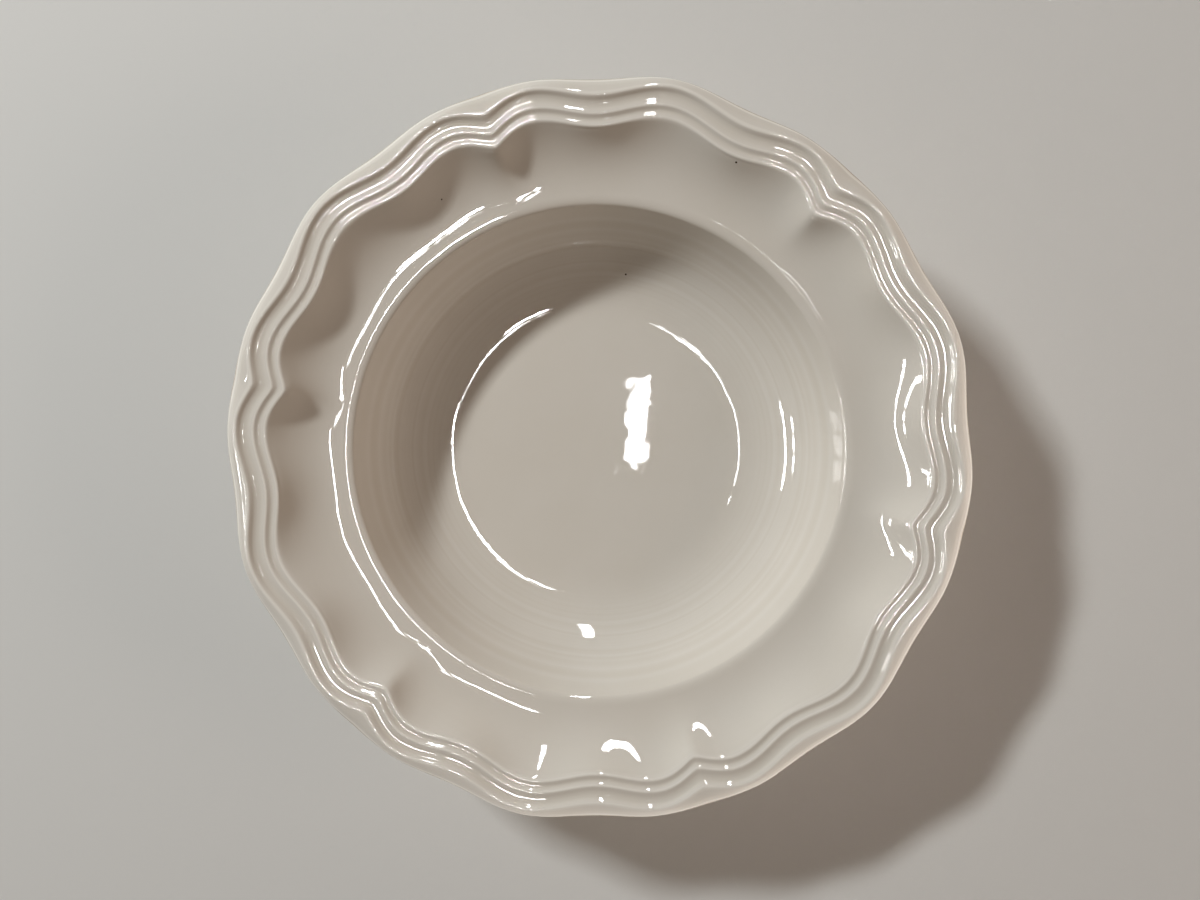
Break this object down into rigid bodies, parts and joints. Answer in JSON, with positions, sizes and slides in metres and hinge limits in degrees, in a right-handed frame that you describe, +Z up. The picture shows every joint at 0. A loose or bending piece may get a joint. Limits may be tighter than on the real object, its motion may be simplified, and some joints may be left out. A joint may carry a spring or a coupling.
{
  "type": "cereal bowl",
  "caption": "Round rim cereal bowl in glazed ceramic: deep well, wide dished flange, moulded border with cusped, scalloped outline, and a ring foot.",
  "frame": {"origin": "middle of the plane that the ring foot stands on", "axes": "+Z up along the bowl's axis, +X through one cusp of the border"},
  "size_m": [0.228, 0.23, 0.045],
  "materials": {
    "fired_clay": "bare fired stoneware, fine grained and matt",
    "glaze": "glossy warm off-white glaze"
  },
  "bodies": {
    "root": {"clay_body": "fired_clay", "glaze_coat": "glaze", "base_glaze": "glaze"}
  },
  "joints": []
}
